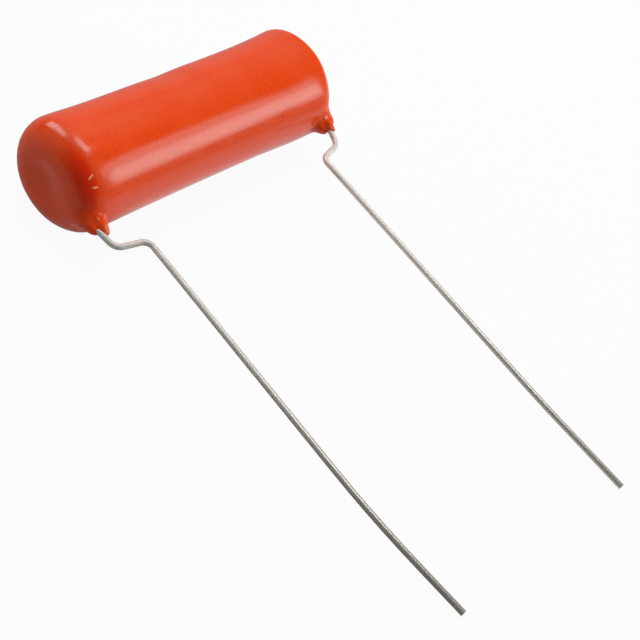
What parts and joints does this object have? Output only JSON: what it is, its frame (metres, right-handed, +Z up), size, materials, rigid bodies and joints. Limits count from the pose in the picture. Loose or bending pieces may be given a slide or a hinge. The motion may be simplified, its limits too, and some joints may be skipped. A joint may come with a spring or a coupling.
{
  "type": "film capacitor",
  "caption": "Dipped radial film capacitor: glossy orange epoxy coat over a flattened film and foil winding, with crimped tinned wire leads from its ends.",
  "frame": {"origin": "under the middle of the whole part, on the surface that it lies on", "axes": "+X from the left lead to the right lead, along the body; +Y from the wire tips towards the body; +Z up, out of the surface that the body and the longer wire's tip rest on"},
  "size_m": [0.0356, 0.0628, 0.0113],
  "materials": {
    "epoxy": "glossy dipped epoxy",
    "tinned_wire": "satin tinned copper",
    "winding": "clear film over foil",
    "sprayed_metal": "matt, grainy sprayed metal",
    "solder": "smooth solder"
  },
  "bodies": {
    "root": {"epoxy_coating": "epoxy", "wound_element": "winding", "left_end_termination": "sprayed_metal", "right_end_termination": "sprayed_metal", "left_solder_joint": "solder", "right_solder_joint": "solder", "left_lead": "tinned_wire", "right_lead": "tinned_wire"}
  },
  "joints": []
}
